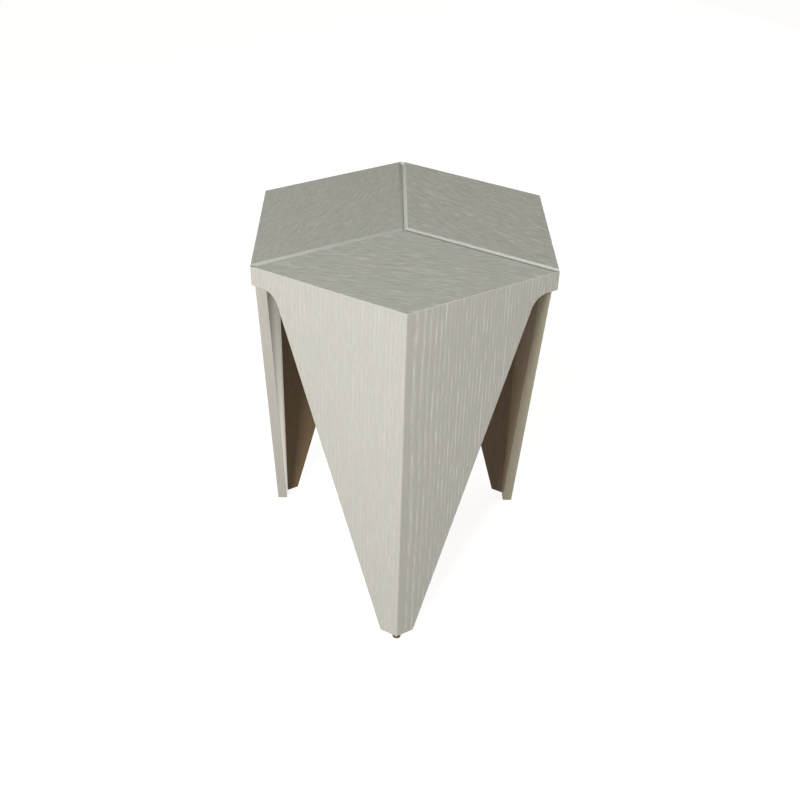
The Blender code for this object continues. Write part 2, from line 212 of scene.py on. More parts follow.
def give_surface(tree, shader, colour, dullness, height, strength, distance):
    """Join a colour, a roughness and a relief of this depth in metres to the shader."""
    tree.links.new(colour, shader.inputs["Base Color"])
    tree.links.new(dullness, shader.inputs["Roughness"])
    inputs = {"Strength": strength, "Distance": distance, "Height": height}
    bump = shader_node(tree, "ShaderNodeBump", inputs)
    tree.links.new(bump.outputs["Normal"], shader.inputs["Normal"])


def along_grain(tree, place, turn, lies_flat, start=(0, 0, 0), lean=0):
    """Turn the pattern so that the grain runs along its Z, from the board's own start."""
    turned = shader_node(tree, "ShaderNodeMapping", {"Vector": place, "Rotation": (0, 0, -turn)})
    tipped = (math.radians(90) if lies_flat else 0, -lean, 0)
    inputs = {"Vector": turned.outputs[0], "Rotation": tipped, "Location": start}
    return shader_node(tree, "ShaderNodeMapping", inputs).outputs[0]


def drawn_noise(tree, place, size, detail=2.0):
    """Noise drawn out along Z, about this wide and this long in metres."""
    width, length = size
    spread = vector_maths(tree, "MULTIPLY", place, (1 / width, 1 / width, 1 / length))
    inputs = {"Vector": spread, "Scale": 1.0, "Detail": detail, "Roughness": 0.5}
    return shader_node(tree, "ShaderNodeTexNoise", inputs)


def mottling(tree, place, scale, detail):
    inputs = {"Vector": place, "Scale": scale, "Detail": detail}
    return shader_node(tree, "ShaderNodeTexNoise", inputs).outputs["Fac"]


def bent(tree, grain, size, reach):
    """Let the grain wander sideways by about half this reach."""
    drift = drawn_noise(tree, grain, size).outputs["Color"]
    centred = vector_maths(tree, "ADD", drift, (-0.5, -0.5, -0.5))
    return vector_maths(tree, "MULTIPLY_ADD", centred, (reach, reach, 0), grain)


def ash_finish(name, turn, lies_flat, start, figure, stain, lean=0):
    """Stained ash with waxed pores, for a board that is turned this way in plan."""
    ground, blotch, late_wood, wax = stain
    pith, ring_width, line_size, dash_size, line_strength, dash_strength = figure
    material, tree, shader, place = new_finish(name, lacquer_roughness)
    shader.inputs["Specular IOR Level"].default_value = lacquer_shine
    grain = along_grain(tree, place, turn, lies_flat, start, lean)
    wandering = bent(tree, grain, long_bend, long_bend_reach)
    wavy = bent(tree, wandering, short_bend, short_bend_reach)
    from_pith = vector_maths(tree, "SUBTRACT", wavy, (*pith, 0))
    level = vector_maths(tree, "MULTIPLY", from_pith, (1, 1, 0))
    reach = shader_node(tree, "ShaderNodeVectorMath", {0: level}, operation="LENGTH").outputs["Value"]
    year = maths(tree, "FRACT", maths(tree, "DIVIDE", reach, ring_width))
    rising = mapped(tree, year, *early_wood_rise)
    falling = mapped(tree, year, *early_wood_fall, 1.0, 0.0)
    early_wood = maths(tree, "MULTIPLY", rising, falling)
    line_noise = drawn_noise(tree, wavy, line_size).outputs["Fac"]
    fibre_noise = drawn_noise(tree, wavy, fibre_size).outputs["Fac"]
    pore_noise = drawn_noise(tree, wavy, dash_size, 1.0).outputs["Fac"]
    blotch_noise = drawn_noise(tree, grain, blotch_size, 3.0).outputs["Fac"]
    broken = mapped(tree, line_noise, *line_levels)
    patchy = mapped(tree, blotch_noise, *patch_levels, line_strength * weakest_line, line_strength)
    lines = maths(tree, "MULTIPLY", maths(tree, "MULTIPLY", early_wood, broken), patchy)
    light_dashes = mapped(tree, pore_noise, *light_dash_levels, 0.0, dash_strength)
    dark_dashes = mapped(tree, pore_noise, *dark_dash_levels, dash_strength, 0.0)
    late_band = mapped(tree, year, *late_wood_rise, 0.0, line_strength * late_wood_strength)
    darkened = maths(tree, "MAXIMUM", dark_dashes, late_band)
    waxed = maths(tree, "MAXIMUM", lines, light_dashes)
    brushed = mapped(tree, fibre_noise, *fibre_levels, 0.0, fibre_strength)
    blotchy = mapped(tree, blotch_noise, *blotch_levels)
    base = mixed_colour(tree, blotchy, opaque(ground), opaque(blotch))
    shaded = mixed_colour(tree, darkened, base, opaque(late_wood))
    combed = mixed_colour(tree, brushed, shaded, opaque(wax))
    colour = mixed_colour(tree, waxed, combed, opaque(wax))
    dullness = mapped(tree, waxed, 0.0, 1.0, lacquer_roughness, wax_roughness)
    relief = maths(tree, "SUBTRACT", maths(tree, "MULTIPLY", fibre_noise, fibre_relief), waxed)
    give_surface(tree, shader, colour, dullness, relief, strength=0.30, distance=pore_relief)
    return material


def heading(angle):
    return Vector((math.cos(math.radians(angle)), math.sin(math.radians(angle)), 0))


def arris_planes(edge_point, first, second, radius, angles):
    """Planes that round an arris over, at these angles in degrees from the first face's normal."""
    opening = first.angle(second)
    middle = (first + second).normalized()
    centre = edge_point - middle * (radius / math.cos(opening / 2))
    sideways = (second - first * first.dot(second)).normalized()
    planes = []
    for angle in angles:
        normal = first * math.cos(math.radians(angle)) + sideways * math.sin(math.radians(angle))
        planes.append((centre + normal * radius, normal))
    return planes


def half_module(hand):
    """Where one half of the front module lies: its corners, its outside and the side past its split."""
    leg_corner = heading(leg_heading) * side_length
    split_corner = heading(leg_heading + hand * split_heading) * side_length
    outward = heading(leg_heading + hand * split_heading / 2)
    past_split = heading(leg_heading + hand * (split_heading + 90))
    return leg_corner, split_corner, outward, past_split


def shared_planes(hand):
    """Cuts that a side board and a top board both have, as points and the normals of the waste."""
    leg_corner, split_corner, outward, past_split = half_module(hand)
    other_outward = heading(leg_heading - hand * split_heading / 2)
    return (
        arris_planes(leg_corner, outward, other_outward, crease_round, crease_cuts)
        + arris_planes(split_corner, outward, past_split, split_round, split_cuts)
    )


def saw_off(solid, planes):
    """Cut a closed board along planes, and close it again after each cut."""
    for point, normal in planes:
        bmesh.ops.bisect_plane(
            solid,
            geom=solid.verts[:] + solid.edges[:] + solid.faces[:],
            dist=weld_distance,
            plane_co=point,
            plane_no=normal,
            clear_outer=True,
        )
        open_edges = [edge for edge in solid.edges if edge.is_boundary]
        bmesh.ops.holes_fill(solid, edges=open_edges, sides=0)


def board_blank(outline, thickness):
    """A board from its outline, whose face lies at depth zero and whose back is one thickness in."""
    solid = bmesh.new()
    corners = [solid.verts.new((point[0], 0, point[1])) for point in outline]
    face = solid.faces.new(corners)
    raised = bmesh.ops.extrude_face_region(solid, geom=[face], use_keep_orig=True)
    backs = [item for item in raised["geom"] if isinstance(item, bmesh.types.BMVert)]
    bmesh.ops.translate(solid, verts=backs, vec=(0, thickness, 0))
    bmesh.ops.recalc_face_normals(solid, faces=solid.faces)
    return solid


def side_outline():
    """Across from the crease and up from the floor: toe, slant, hollow corner, apron and top."""
    apron_height = table_height - apron_depth
    toe = Vector((foot_width, foot_clearance))
    corner = Vector((side_length - slant_setback, apron_height))
    down_slant = (toe - corner).normalized()
    along_apron = Vector((1, 0))
    half_angle = down_slant.angle(along_apron) / 2
    bisector = (down_slant + along_apron).normalized()
    centre = corner + bisector * (hollow_radius / math.sin(half_angle))
    first = math.atan2(-down_slant.x, down_slant.y)
    sweep = math.pi - 2 * half_angle
    points = [Vector((0, foot_clearance)), toe]
    for step in range(hollow_steps + 1):
        angle = first - sweep * step / hollow_steps
        points.append(centre + Vector((math.cos(angle), math.sin(angle))) * hollow_radius)
    points.append(Vector((side_length, apron_height)))
    points.append(Vector((side_length, table_height)))
    points.append(Vector((0, table_height)))
    return points


def side_board(hand):
    """One tapered side of the front module."""
    outline = [(hand * point.x, point.y) for point in side_outline()]
    solid = board_blank(outline, board_thickness)
    sawn = []
    for edge in solid.edges:
        first, second = (corner.co for corner in edge.verts)
        over_thickness = abs(first.y - second.y) > weld_distance
        at_top = min(first.z, second.z) > table_height - weld_distance
        at_crease = max(abs(first.x), abs(second.x)) < weld_distance
        at_split = min(abs(first.x), abs(second.x)) > side_length - weld_distance
        if not (over_thickness or at_top or at_crease or at_split):
            sawn.append(edge)
    bmesh.ops.bevel(
        solid,
        geom=sawn,
        offset=sawn_edge_round,
        segments=sawn_edge_steps,
        profile=0.5,
        affect="EDGES",
        clamp_overlap=True,
    )
    leg_corner, _, outward, past_split = half_module(hand)
    turn = Matrix.Rotation(math.radians(hand * split_heading / 2), 4, "Z")
    bmesh.ops.transform(solid, matrix=Matrix.Translation(leg_corner) @ turn, verts=solid.verts)
    top_edge = leg_corner + upward * table_height
    ends = [
        (Vector((0, 0, 0)), Vector((-hand, 0, 0))),
        (past_split * -half_joint, past_split),
        (top_edge, (upward - outward).normalized()),
    ]
    saw_off(solid, ends + arris_planes(top_edge, outward, upward, top_arris_round, side_arris_cuts))
    saw_off(solid, shared_planes(hand))
    return solid


def foot_bore():
    """The hole up into the front foot, half in each side board."""
    solid = bmesh.new()
    middle = Matrix.Translation((0, -leveller_reach, foot_clearance))
    bmesh.ops.create_cone(
        solid,
        cap_ends=True,
        segments=foot_bore_sides,
        radius1=foot_bore_radius,
        radius2=foot_bore_radius,
        depth=foot_bore_depth * 2,
        matrix=middle,
    )
    return solid


def new_object(name, solid, turn, finishes):
    """Turn a shape of the front module into its own place, and make it an object."""
    bmesh.ops.transform(solid, matrix=Matrix.Rotation(math.radians(turn), 4, "Z"), verts=solid.verts)
    bmesh.ops.remove_doubles(solid, verts=solid.verts, dist=weld_distance)
    bmesh.ops.recalc_face_normals(solid, faces=solid.faces)
    mesh = bpy.data.meshes.new(name)
    solid.to_mesh(mesh)
    solid.free()
    for finish in finishes:
        mesh.materials.append(finish)
    mesh.shade_smooth()
    mesh.set_sharp_from_angle(angle=smooth_below)
    piece = bpy.data.objects.new(name, mesh)
    bpy.context.scene.collection.objects.link(piece)
    return piece


def evaluated_mesh(piece):
    """The piece's mesh as its modifiers leave it."""
    graph = bpy.context.evaluated_depsgraph_get()
    return bpy.data.meshes.new_from_object(piece.evaluated_get(graph), depsgraph=graph)


def keep_flat_faces_flat(piece):
    flat_faces = piece.modifiers.new("flat_faces", "WEIGHTED_NORMAL")
    flat_faces.keep_sharp = True
    flat_faces.weight = 100


def give_faces_their_finish(mesh, outward):
    """The hidden side takes the second finish, and sawn edges the third; arrises go with the face."""
    for face in mesh.polygons:
        turned_out = face.normal.dot(outward)
        if turned_out < hidden_side:
            face.material_index = 1
        elif turned_out < face_side:
            face.material_index = 2


def declare(piece, body, slot, *nodes):
    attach(piece, body)
    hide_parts(*nodes)


for module, turn in module_turns.items():
    bore = new_object("foot_bore", foot_bore(), turn, [])
    for hand_name, hand in hands.items():
        ending = module + "_" + hand_name
        face_heading = leg_heading + hand * split_heading / 2 + turn
        face_turn = math.radians(face_heading + 90)
        start = (hand * side_length / 2, side_length * math.cos(math.radians(split_heading / 2)), 0)
        figure = side_figures[module, hand_name]
        slant_across = side_length - slant_setback - foot_width
        slant_height = table_height - apron_depth - foot_clearance
        lean = hand * math.atan2(slant_across, slant_height)
        # The inside finish is the brown stain with painted shade, or a face's own painted light or shade.
        inner_stain_and_painted_light = inner_painted_light.get((module, hand_name), brown_stain_and_painted_shade)
        # One sawn edge takes the painted warm shade, the others the edge stain.
        sawn_stain_and_painted_light = sawn_painted_warm_shade.get((module, hand_name), edge_stain)
        outside = ash_finish("ash_side_" + ending, face_turn, False, start, figure, grey_stain)
        inside = ash_finish("ash_inner_stain_and_painted_light_" + ending, face_turn, False, start, inner_figure, inner_stain_and_painted_light)
        sawn = ash_finish("ash_edge_stain_and_painted_light_" + ending, face_turn, False, start, edge_figure, sawn_stain_and_painted_light, lean)
        side = new_object("side_board_" + ending, side_board(hand), turn, [outside, inside, sawn])
        drilling = side.modifiers.new("drilling", "BOOLEAN")
        drilling.operation = "DIFFERENCE"
        drilling.solver = "EXACT"
        drilling.object = bore
        drilled = evaluated_mesh(side)
        side.modifiers.remove(drilling)
        side.data = drilled
        give_faces_their_finish(drilled, heading(face_heading))
        drilled.shade_smooth()
        drilled.set_sharp_from_angle(angle=smooth_below)
        keep_flat_faces_flat(side)
        declare(side, "frame", "cerused_ash", "side_panel_" + ending)
    bpy.data.objects.remove(bore, do_unlink=True)

# Top boards
# Three rhombic tops of the same board, folded down into their sides at a glued mitre. Their grain
# lies within 20 degrees of the long diagonal. A shallow groove is cut where two of them meet.

groove_half_width = 0.0050
groove_depth = 0.0042
groove_arris_flat = 0.0004
groove_least_rise = 0.1
top_arris_cuts = (45, 60, 75)
seam_half_width = 0.00004
top_figures = {
    "front": ((0.400, 0.500), 0.0050, (0.0014, 0.030), (0.0008, 0.020), 0.12, 0.85),
    "right": ((0.300, 0.500), 0.0050, (0.0014, 0.030), (0.0008, 0.018), 0.12, 0.80),
    "left": ((0.350, 0.600), 0.0050, (0.0014, 0.030), (0.0008, 0.016), 0.12, 0.55),
}
top_grain_turns = {"front": -9, "right": 19, "left": 5}
# The tops are tinted greener than the sides, which is a painted greenish reflection. The two back tops are
# coloured darker than the front one.
front_stain_and_painted_reflection = ((0.472, 0.485, 0.410), (0.475, 0.472, 0.417), (0.389, 0.398, 0.332), (0.671, 0.674, 0.617))
back_stain_darker_and_painted_reflection = ((0.444, 0.450, 0.374), (0.444, 0.439, 0.383), (0.364, 0.370, 0.300), (0.661, 0.661, 0.605))
# The grooves' sides take a lighter, cooler stain, and the extra lightness is a painted highlight.
groove_stain_and_painted_highlight = ((0.482, 0.502, 0.446), (0.482, 0.490, 0.456), (0.410, 0.420, 0.372), (0.700, 0.710, 0.668))
top_stains_and_painted_reflection = {"front": front_stain_and_painted_reflection, "right": back_stain_darker_and_painted_reflection, "left": back_stain_darker_and_painted_reflection}


def top_board():
    """The rhombic top of the front module."""
    corners = [
        Vector((0, 0)),
        heading(leg_heading - split_heading).xy * side_length,
        heading(leg_heading).xy * side_length,
        heading(leg_heading + split_heading).xy * side_length,
    ]
    solid = board_blank([(corner.x, corner.y) for corner in corners], board_thickness)
    lie_down = Matrix.Rotation(math.radians(-90), 4, "X")
    lift = Matrix.Translation((0, 0, table_height))
    bmesh.ops.transform(solid, matrix=lift @ lie_down, verts=solid.verts)
    for hand in hands.values():
        leg_corner, _, outward, past_split = half_module(hand)
        top_edge = leg_corner + upward * table_height
        groove_edge = upward * table_height - past_split * groove_half_width
        groove_normal = (past_split * groove_depth + upward * groove_half_width).normalized()
        eased_normal = (groove_normal + upward).normalized()
        cuts = [
            (past_split * -seam_half_width, past_split),
            (groove_edge, groove_normal),
            (groove_edge - upward * (groove_arris_flat / 4), eased_normal),
            (top_edge, (outward - upward).normalized()),
        ]
        saw_off(solid, cuts + arris_planes(top_edge, outward, upward, top_arris_round, top_arris_cuts))
        saw_off(solid, shared_planes(hand))
    return solid


def give_top_faces_their_finish(mesh, turn):
    """The underside takes the second finish, and the sides of the grooves the third."""
    for face in mesh.polygons:
        if face.normal.z < hidden_side:
            face.material_index = 1
        for hand in hands.values():
            past_split = heading(leg_heading + hand * (split_heading + 90) + turn)
            in_groove = face.center.dot(past_split) > -groove_half_width
            if in_groove and face.normal.z > groove_least_rise:
                face.material_index = 2


for module, turn in module_turns.items():
    top_turn = math.radians(turn - 90 + top_grain_turns[module])
    start = (0, table_height, 0)
    figure = top_figures[module]
    # The tops carry the painted reflection, and the grooves' sides the painted highlight.
    outside = ash_finish("ash_top_" + module, top_turn, True, start, figure, top_stains_and_painted_reflection[module])
    under = ash_finish("ash_top_under_stain_and_painted_shade_" + module, top_turn, True, start, inner_figure, brown_stain_and_painted_shade)
    grooved = ash_finish("ash_groove_stain_and_painted_highlight_" + module, top_turn, True, start, edge_figure, groove_stain_and_painted_highlight)
    top = new_object("top_board_" + module, top_board(), turn, [outside, under, grooved])
    give_top_faces_their_finish(top.data, turn)
    keep_flat_faces_flat(top)
    declare(top, "frame", "cerused_ash", "top_panel_" + module)

# Splines
# Loose beech tongues glued into slots in the mitres, three long ones in the creases and six under
# the arrises of the top. They are hidden once the boards are closed on them.

beech_ground = (0.560, 0.385, 0.245)
beech_dark = (0.470, 0.300, 0.180)
beech_fleck = (0.350, 0.205, 0.115)
beech_bend = (0.020, 0.150)
beech_bend_reach = 0.003
beech_band_size = (0.004, 0.120)
beech_fleck_size = (0.0005, 0.0035)
beech_fibre_size = (0.0003, 0.030)


def beech_finish(name, turn, lies_flat):
    """Planed beech with its short brown flecks along the grain."""
    material, tree, shader, place = new_finish(name, 0.62)
    grain = bent(tree, along_grain(tree, place, turn, lies_flat), beech_bend, beech_bend_reach)
    bands = drawn_noise(tree, grain, beech_band_size, 3.0).outputs["Fac"]
    flecks = drawn_noise(tree, grain, beech_fleck_size, 1.0).outputs["Fac"]
    fibres = drawn_noise(tree, grain, beech_fibre_size).outputs["Fac"]
    banded = mapped(tree, bands, 0.38, 0.62)
    ground = mixed_colour(tree, banded, opaque(beech_ground), opaque(beech_dark))
    speckled = mapped(tree, flecks, 0.60, 0.68, 0.0, 0.55)
    flecked = mixed_colour(tree, speckled, ground, opaque(beech_fleck))
    dullness = mapped(tree, fibres, 0.3, 0.7, 0.55, 0.70)
    give_surface(tree, shader, flecked, dullness, fibres, strength=0.25, distance=0.0001)
    return material


upright_beech = beech_finish("beech_upright", 0, False)
level_beech = {}
for axis in (30, 90, 150):
    level_beech[axis] = beech_finish("beech_level_" + str(axis), math.radians(axis - 90), True)


def edge_axis(hand, turn):
    """Which way an outer edge of a module runs in plan, as 30, 90 or 150 degrees."""
    return round(leg_heading + hand * split_heading / 2 + 90 + turn) % 180


for module, turn in module_turns.items():
    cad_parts["crease_spline_" + module].material_slots[0].material = upright_beech
    for hand_name, hand in hands.items():
        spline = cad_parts["top_spline_" + module + "_" + hand_name]
        spline.material_slots[0].material = level_beech[edge_axis(hand, turn)]

# Glue blocks
# Three-cornered beech blocks rubbed into the corner under the top, two to a module along its sides
# and a stouter one upright in each crease. Their arrises are taken off with a plane.

block_leg = 0.016
block_start = 0.045
block_end = 0.070
block_length = side_length - block_start - block_end
crease_block_leg = 0.024
crease_block_height = 0.055
block_arris = 0.0007
underside_height = table_height - board_thickness
full_joint = half_joint * 2
crease_opening = 180 - split_heading


def three_cornered_block(leg, opening, length):
    """A prism with its square or blunt corner at the origin, standing along Y."""
    first = (leg, 0)
    second = (leg * math.cos(opening), leg * math.sin(opening))
    solid = board_blank([(0, 0), first, second], length)
    bmesh.ops.bevel(solid, geom=solid.edges[:], offset=block_arris, segments=2, affect="EDGES")
    bmesh.ops.translate(solid, verts=solid.verts, vec=(0, -length / 2, 0))
    return solid


def set_block(block, middle, axes, turn, finish, name, node):
    """Stand a block in its corner along its own three axes."""
    place = Matrix.Translation(middle) @ Matrix(axes).transposed().to_4x4()
    bmesh.ops.transform(block, matrix=place, verts=block.verts)
    piece = new_object(name, block, turn, [finish])
    keep_flat_faces_flat(piece)
    declare(piece, "frame", "beech", node)


for module, turn in module_turns.items():
    for hand_name, hand in hands.items():
        leg_corner, split_corner, outward, _ = half_module(hand)
        along = (split_corner - leg_corner).normalized()
        block = three_cornered_block(block_leg, math.radians(90), block_length)
        middle = leg_corner + along * (block_start + block_length / 2)
        middle -= outward * (board_thickness + full_joint)
        middle += upward * (underside_height - full_joint)
        axes = (-outward, (-upward).cross(-outward), -upward)
        finish = level_beech[edge_axis(hand, turn)]
        ending = module + "_" + hand_name
        set_block(block, middle, axes, turn, finish, "edge_block_" + ending, "glue_block_" + ending)
    crease_reach = side_length - (board_thickness + full_joint) / math.sin(math.radians(split_heading))
    block = three_cornered_block(crease_block_leg, math.radians(crease_opening), crease_block_height)
    across = heading(leg_heading + crease_opening)
    middle = heading(leg_heading) * crease_reach
    middle += upward * (underside_height - full_joint - crease_block_height / 2)
    axes = (across, -upward, across.cross(-upward))
    names = ("corner_block_" + module, "crease_block_" + module)
    set_block(block, middle, axes, turn, upright_beech, *names)

# Joining plate
# A three-armed plate of 9 mm birch plywood under the middle of the top. It bridges the grooves and
# holds the three modules together. Its face is bare veneer, and its sawn edge shows seven plies.

plate_thickness = 0.009
plate_bottom = underside_height - full_joint - plate_thickness
ply_count = 7
birch_veneer = (0.600, 0.470, 0.310)
birch_band = (0.530, 0.395, 0.245)
core_ply = (0.380, 0.250, 0.145)
ply_bend = (0.030, 0.160)
ply_bend_reach = 0.006
ply_band_size = (0.005, 0.140)
ply_fibre_size = (0.0005, 0.025)

plywood, ply_tree, ply_shader, ply_place = new_finish("birch_plywood", 0.60)
ply_length = along_grain(ply_tree, ply_place, math.radians(-90), True)
ply_grain = bent(ply_tree, ply_length, ply_bend, ply_bend_reach)
ply_bands = drawn_noise(ply_tree, ply_grain, ply_band_size, 3.0).outputs["Fac"]
ply_fibres = drawn_noise(ply_tree, ply_grain, ply_fibre_size).outputs["Fac"]
ply_banded = mapped(ply_tree, ply_bands, 0.4, 0.6)
veneer = mixed_colour(ply_tree, ply_banded, opaque(birch_veneer), opaque(birch_band))
ply_height = shader_node(ply_tree, "ShaderNodeSeparateXYZ", {0: ply_place}).outputs["Z"]
above_bottom = maths(ply_tree, "SUBTRACT", ply_height, plate_bottom)
ply_number = maths(ply_tree, "DIVIDE", above_bottom, plate_thickness / ply_count)
ply_parity = maths(ply_tree, "PINGPONG", ply_number, 1.0)
core_share = mapped(ply_tree, ply_parity, 0.42, 0.58)
edge_colour = mixed_colour(ply_tree, core_share, opaque(birch_band), opaque(core_ply))
surface = ply_tree.nodes.new("ShaderNodeNewGeometry").outputs["Normal"]
surface_rise = shader_node(ply_tree, "ShaderNodeSeparateXYZ", {0: surface}).outputs["Z"]
face_up = maths(ply_tree, "ABSOLUTE", surface_rise)
on_edge = mapped(ply_tree, face_up, 0.60, 0.95, 1.0, 0.0)
ply_colour = mixed_colour(ply_tree, on_edge, veneer, edge_colour)
ply_dullness = mapped(ply_tree, ply_fibres, 0.3, 0.7, 0.52, 0.72)
give_surface(ply_tree, ply_shader, ply_colour, ply_dullness, ply_fibres, strength=0.3, distance=0.0002)
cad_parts["joining_plate"].material_slots[0].material = plywood

# Plate screws
# Twelve zinc-plated countersunk wood screws with a cross recess, four up into each top board. They
# are driven from below, two to each side of a groove, and each stops at its own turn.

screw_head_radius = 0.0035
screw_shank_radius = 0.00175
screw_root_radius = 0.00125
screw_length = 0.019
screw_rim = 0.0003
screw_chamfer = 0.0001
screw_pitch = 0.0018
screw_thread_start = 0.0065
screw_thread_runout = 0.0002
screw_thread_rings = 42
screw_point = 0.0030
screw_tip = 0.0008
thread_flank = 1.35
thread_root_flat = 0.15
screw_sides = 36
recess_reach = 0.0019
recess_half_width = 0.00045
recess_depth = 0.0016
recess_floor_share = 0.62
recess_middle_share = 1.15
zinc_bright = (0.620, 0.630, 0.650)
zinc_dull = (0.480, 0.490, 0.510)
zinc_mottle_scale = 900.0
zinc_mark_size = (0.004, 0.0002)
screw_seed = 7
screws_per_top = 4
screw_sizes = {
    "Inner reach": 0.058,
    "Outer reach": 0.160,
    "Row offset": 0.017,
    "Height": plate_bottom,
    "First groove": math.radians(leg_heading + split_heading),
}


def turned_skin(section, sides):
    """A closed skin round Z through rings of radius and height; a radius may depend on the angle."""
    solid = bmesh.new()
    rings = []
    for radius, height in section:
        ring = []
        for index in range(sides):
            angle = math.tau * index / sides
            reach = radius(angle) if callable(radius) else radius
            ring.append((reach * math.cos(angle), reach * math.sin(angle), height))
        if not callable(radius) and radius == 0:
            ring = ring[:1]
        rings.append([solid.verts.new(place) for place in ring])
    for lower, upper in zip(rings, rings[1:]):
        for index in range(sides):
            after = (index + 1) % sides
            if len(lower) == 1:
                solid.faces.new((lower[0], upper[after], upper[index]))
            elif len(upper) == 1:
                solid.faces.new((lower[index], lower[after], upper[0]))
            else:
                solid.faces.new((lower[index], lower[after], upper[after], upper[index]))
    bmesh.ops.recalc_face_normals(solid, faces=solid.faces)
    return solid


def thread_radius(height, crest, root, pitch):
    """Radius of a right-hand thread at this height, as a function of the angle."""
    def radius(angle):
        phase = (height / pitch - angle / math.tau) % 1
        rise = min(max(abs(phase * 2 - 1) * thread_flank - thread_root_flat, 0), 1)
        return root + (crest - root) * rise
    return radius


def cross_recess(scale):
    """Outline of a cross-shaped socket, as a function of the angle."""
    def radius(angle):
        folded = angle % (math.pi / 2)
        nearest = min(folded, math.pi / 2 - folded)
        if math.tan(nearest) <= recess_half_width / recess_reach:
            return scale * recess_reach / math.cos(nearest)
        return scale * recess_half_width / math.sin(nearest)
    return radius


def wood_screw():
    """A countersunk screw that stands on its head."""
    cone_top = screw_rim + screw_head_radius - screw_shank_radius
    thread_reach = screw_length - screw_point - screw_thread_start
    whole_recess = cross_recess(1.0)
    section = [
        (0, recess_depth * recess_middle_share),
        (cross_recess(recess_floor_share), recess_depth),
        (whole_recess, screw_chamfer),
        (lambda angle: whole_recess(angle) + screw_chamfer, 0),
        (screw_head_radius - screw_chamfer, 0),
        (screw_head_radius, screw_chamfer),
        (screw_head_radius, screw_rim),
        (screw_shank_radius, cone_top),
        (screw_shank_radius, screw_thread_start),
    ]
    first = screw_thread_start + screw_thread_runout
    for step in range(screw_thread_rings + 1):
        height = first + thread_reach * step / screw_thread_rings
        ring = thread_radius(height, screw_shank_radius, screw_root_radius, screw_pitch)
        section.append((ring, height))
    section.append((screw_root_radius / 2, screw_length - screw_tip))
    section.append((0, screw_length))
    return turned_skin(section, screw_sides)


def zinc_finish(name):
    """Bright zinc plate, with faint mottling and turning marks."""
    material, tree, shader, place = new_finish(name, 0.34, 1.0)
    mottle = mottling(tree, place, zinc_mottle_scale, 3.0)
    marks = drawn_noise(tree, place, zinc_mark_size).outputs["Fac"]
    shade = mapped(tree, mottle, 0.35, 0.65)
    plated = mixed_colour(tree, shade, opaque(zinc_bright), opaque(zinc_dull))
    dullness = mapped(tree, mottle, 0.3, 0.7, 0.26, 0.46)
    give_surface(tree, shader, plated, dullness, marks, strength=0.15, distance=0.00005)
    return material


def tree_socket(tree, name, kind, value=None):
    """Add a named input to a tree of geometry nodes."""
    socket = tree.interface.new_socket(name=name, in_out="INPUT", socket_type=kind)
    if value is not None:
        socket.default_value = value
    return socket


def screw_pattern():
    """Geometry nodes that set the modifier's own screw at every place in the plate."""
    tree = bpy.data.node_groups.new("screw_pattern", "GeometryNodeTree")
    sockets = {"Screw": tree_socket(tree, "Screw", "NodeSocketGeometry")}
    for name, value in screw_sizes.items():
        sockets[name] = tree_socket(tree, name, "NodeSocketFloat", value)
    sockets["Seed"] = tree_socket(tree, "Seed", "NodeSocketInt", screw_seed)
    sockets["Finish"] = tree_socket(tree, "Finish", "NodeSocketMaterial")
    tree.interface.new_socket(name="Screws", in_out="OUTPUT", socket_type="NodeSocketGeometry")
    given = tree.nodes.new("NodeGroupInput").outputs
    reach_gap = maths(tree, "SUBTRACT", given["Outer reach"], given["Inner reach"])
    along_row = shader_node(tree, "ShaderNodeCombineXYZ", {"X": reach_gap}).outputs[0]
    rows = []
    for side in (-1.0, 1.0):
        aside = maths(tree, "MULTIPLY", given["Row offset"], side)
        inputs = {"X": given["Inner reach"], "Y": aside, "Z": given["Height"]}
        row_start = shader_node(tree, "ShaderNodeCombineXYZ", inputs).outputs[0]
        inputs = {"Count": 2, "Start Location": row_start, "Offset": along_row}
        rows.append(shader_node(tree, "GeometryNodeMeshLine", inputs).outputs["Mesh"])
    arm = tree.nodes.new("GeometryNodeJoinGeometry")
    for row in reversed(rows):
        tree.links.new(row, arm.inputs[0])
    grooves = shader_node(tree, "GeometryNodePoints", {"Count": len(module_turns)}).outputs[0]
    groove_index = tree.nodes.new("GeometryNodeInputIndex").outputs[0]
    groove_step = maths(tree, "MULTIPLY", groove_index, math.tau / len(module_turns))
    groove_turn = maths(tree, "ADD", groove_step, given["First groove"])
    groove_rotation = shader_node(tree, "ShaderNodeCombineXYZ", {"Z": groove_turn}).outputs[0]
    inputs = {"Points": grooves, "Instance": arm.outputs[0], "Rotation": groove_rotation}
    arms = shader_node(tree, "GeometryNodeInstanceOnPoints", inputs).outputs[0]
    places = shader_node(tree, "GeometryNodeRealizeInstances", {0: arms}).outputs[0]
    inputs = {0: (0, 0, 0), 1: (0, 0, math.tau), "Seed": given["Seed"]}
    own_turn = shader_node(tree, "FunctionNodeRandomValue", inputs, data_type="FLOAT_VECTOR").outputs[0]
    inputs = {"Points": places, "Instance": given["Screw"], "Rotation": own_turn}
    screws = shader_node(tree, "GeometryNodeInstanceOnPoints", inputs).outputs[0]
    realized = shader_node(tree, "GeometryNodeRealizeInstances", {0: screws}).outputs[0]
    inputs = {"Geometry": realized, "Material": given["Finish"]}
    finished = shader_node(tree, "GeometryNodeSetMaterial", inputs).outputs[0]
    tree.links.new(finished, tree.nodes.new("NodeGroupOutput").inputs["Screws"])
    return tree, sockets


